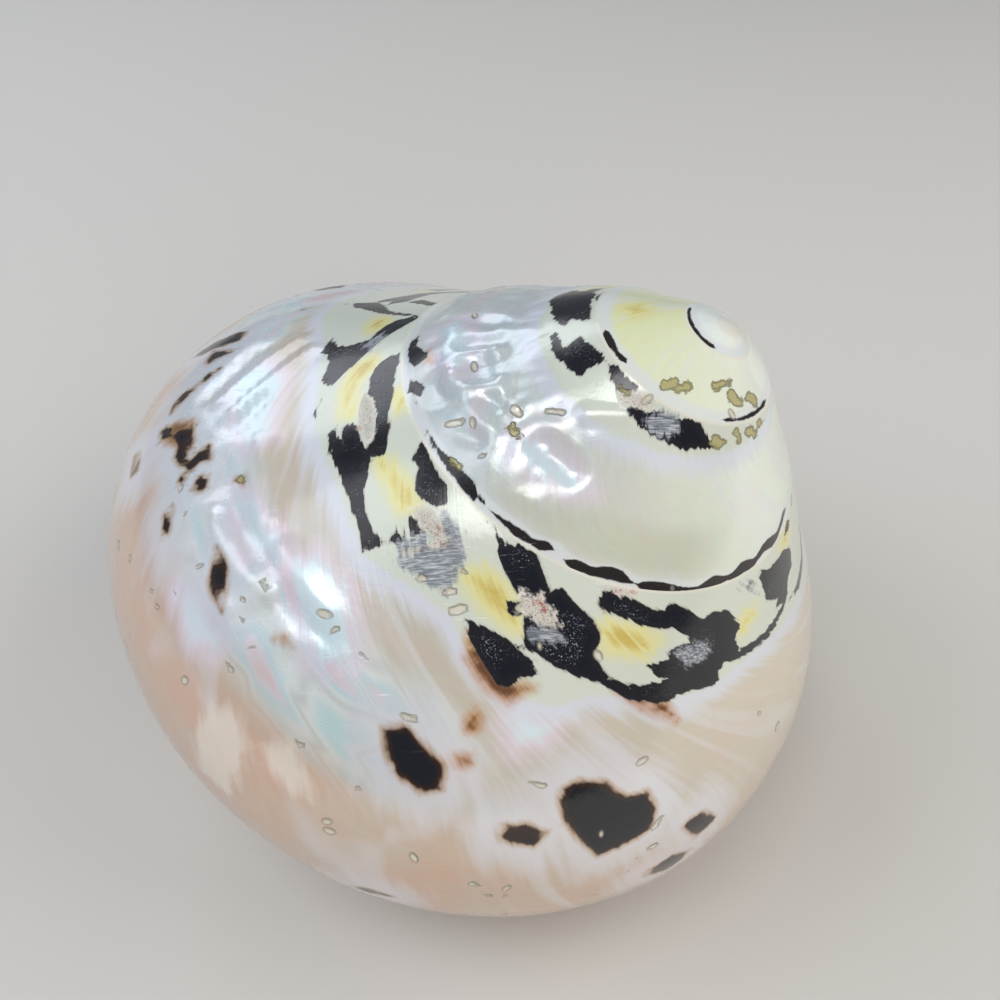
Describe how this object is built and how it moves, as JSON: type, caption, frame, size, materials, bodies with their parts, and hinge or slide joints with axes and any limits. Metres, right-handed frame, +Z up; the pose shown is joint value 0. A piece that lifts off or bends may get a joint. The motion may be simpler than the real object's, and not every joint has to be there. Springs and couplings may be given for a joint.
{
  "type": "turban shell",
  "caption": "Large heavy sea-snail shell with a low spire, wound to the right, ground and polished down to its mother-of-pearl, lying on its open mouth as a shelf or table ornament.",
  "frame": {"origin": "middle of the bounding box, on the surface that the shell lies on", "axes": "+Z up, -Y towards the viewer of the picture, +X to their right; the shell lies on its mouth, with its spire leaning to +X"},
  "size_m": [0.0832, 0.0946, 0.0648],
  "materials": {
    "nacre": "polished mother-of-pearl, cream, tan and silver, with remains of the black, white and ochre outer layer"
  },
  "bodies": {
    "root": {"turban_shell": "nacre"}
  },
  "joints": []
}
